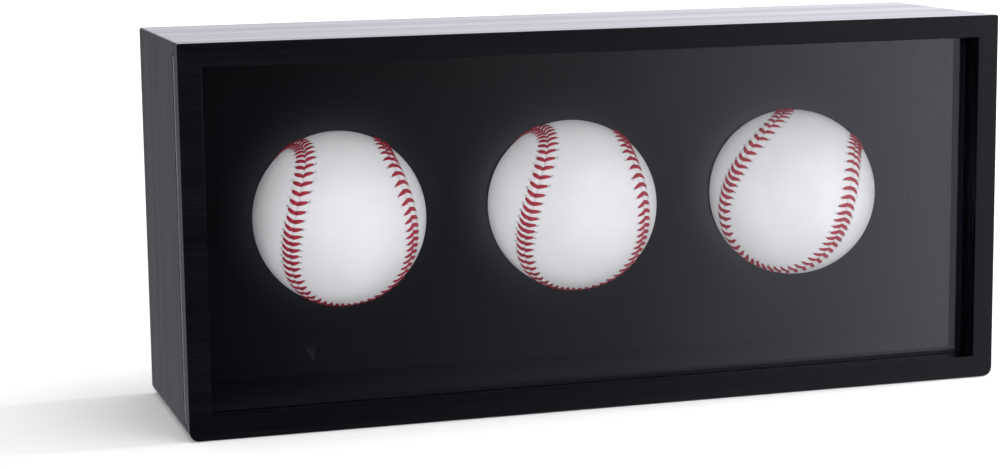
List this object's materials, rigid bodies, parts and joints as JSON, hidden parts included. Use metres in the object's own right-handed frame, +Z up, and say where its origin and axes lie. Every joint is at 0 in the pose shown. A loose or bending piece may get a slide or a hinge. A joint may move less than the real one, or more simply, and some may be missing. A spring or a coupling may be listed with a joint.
{
  "type": "baseball shadow box",
  "caption": "Black mitred shadow box whose clear cover slides out of one side; baseballs sit in round seats in a panel; hangs on keyhole plates or stands on its base.",
  "frame": {"origin": "centre of the underside, half way across the width and the depth", "axes": "+Z up, +X to the right seen from the front, -Y towards the viewer, so the clear cover faces -Y"},
  "size_m": [0.356, 0.096, 0.159],
  "materials": {
    "black_wood": "black lacquer over fine straight grain, satin",
    "spline_wood": "bare",
    "black_panel": "matte black",
    "clear_acrylic": "clear, polished",
    "zinc_steel": "zinc plated",
    "white_leather": "smooth white, faint pores",
    "red_thread": "waxed cotton thread",
    "wool_yarn": "wound wool",
    "cork_rubber": "moulded"
  },
  "bodies": {
    "case": {"top_board": "black_wood", "bottom_board": "black_wood", "left_board": "black_wood", "right_board": "black_wood", "corner_splines": "spline_wood", "ball_panel": "black_panel", "back_panel": "black_panel", "back_panel_screws": "zinc_steel", "left_hanger": "zinc_steel", "right_hanger": "zinc_steel", "hanger_screws": "zinc_steel"},
    "cover": {"front_cover": "clear_acrylic"},
    "left_ball": {"left_ball_core": "cork_rubber", "left_ball_winding": "wool_yarn", "left_ball_upper_leather": "white_leather", "left_ball_lower_leather": "white_leather", "left_ball_stitching": "red_thread"},
    "middle_ball": {"middle_ball_core": "cork_rubber", "middle_ball_winding": "wool_yarn", "middle_ball_upper_leather": "white_leather", "middle_ball_lower_leather": "white_leather", "middle_ball_stitching": "red_thread"},
    "right_ball": {"right_ball_core": "cork_rubber", "right_ball_winding": "wool_yarn", "right_ball_upper_leather": "white_leather", "right_ball_lower_leather": "white_leather", "right_ball_stitching": "red_thread"}
  },
  "joints": [
    {"name": "cover_slide", "type": "slide", "parent": "case", "child": "cover", "axis": [-1, 0, 0], "range_m": [0, 0.34]},
    {"name": "left_ball_turn", "type": "hinge", "parent": "case", "child": "left_ball", "pos_m": [-0.1035, 0.001, 0.0795], "axis": [0, -1, 0], "continuous": true},
    {"name": "middle_ball_turn", "type": "hinge", "parent": "case", "child": "middle_ball", "pos_m": [0, 0.001, 0.0795], "axis": [0, -1, 0], "continuous": true},
    {"name": "right_ball_turn", "type": "hinge", "parent": "case", "child": "right_ball", "pos_m": [0.1035, 0.001, 0.0795], "axis": [0, -1, 0], "continuous": true}
  ]
}
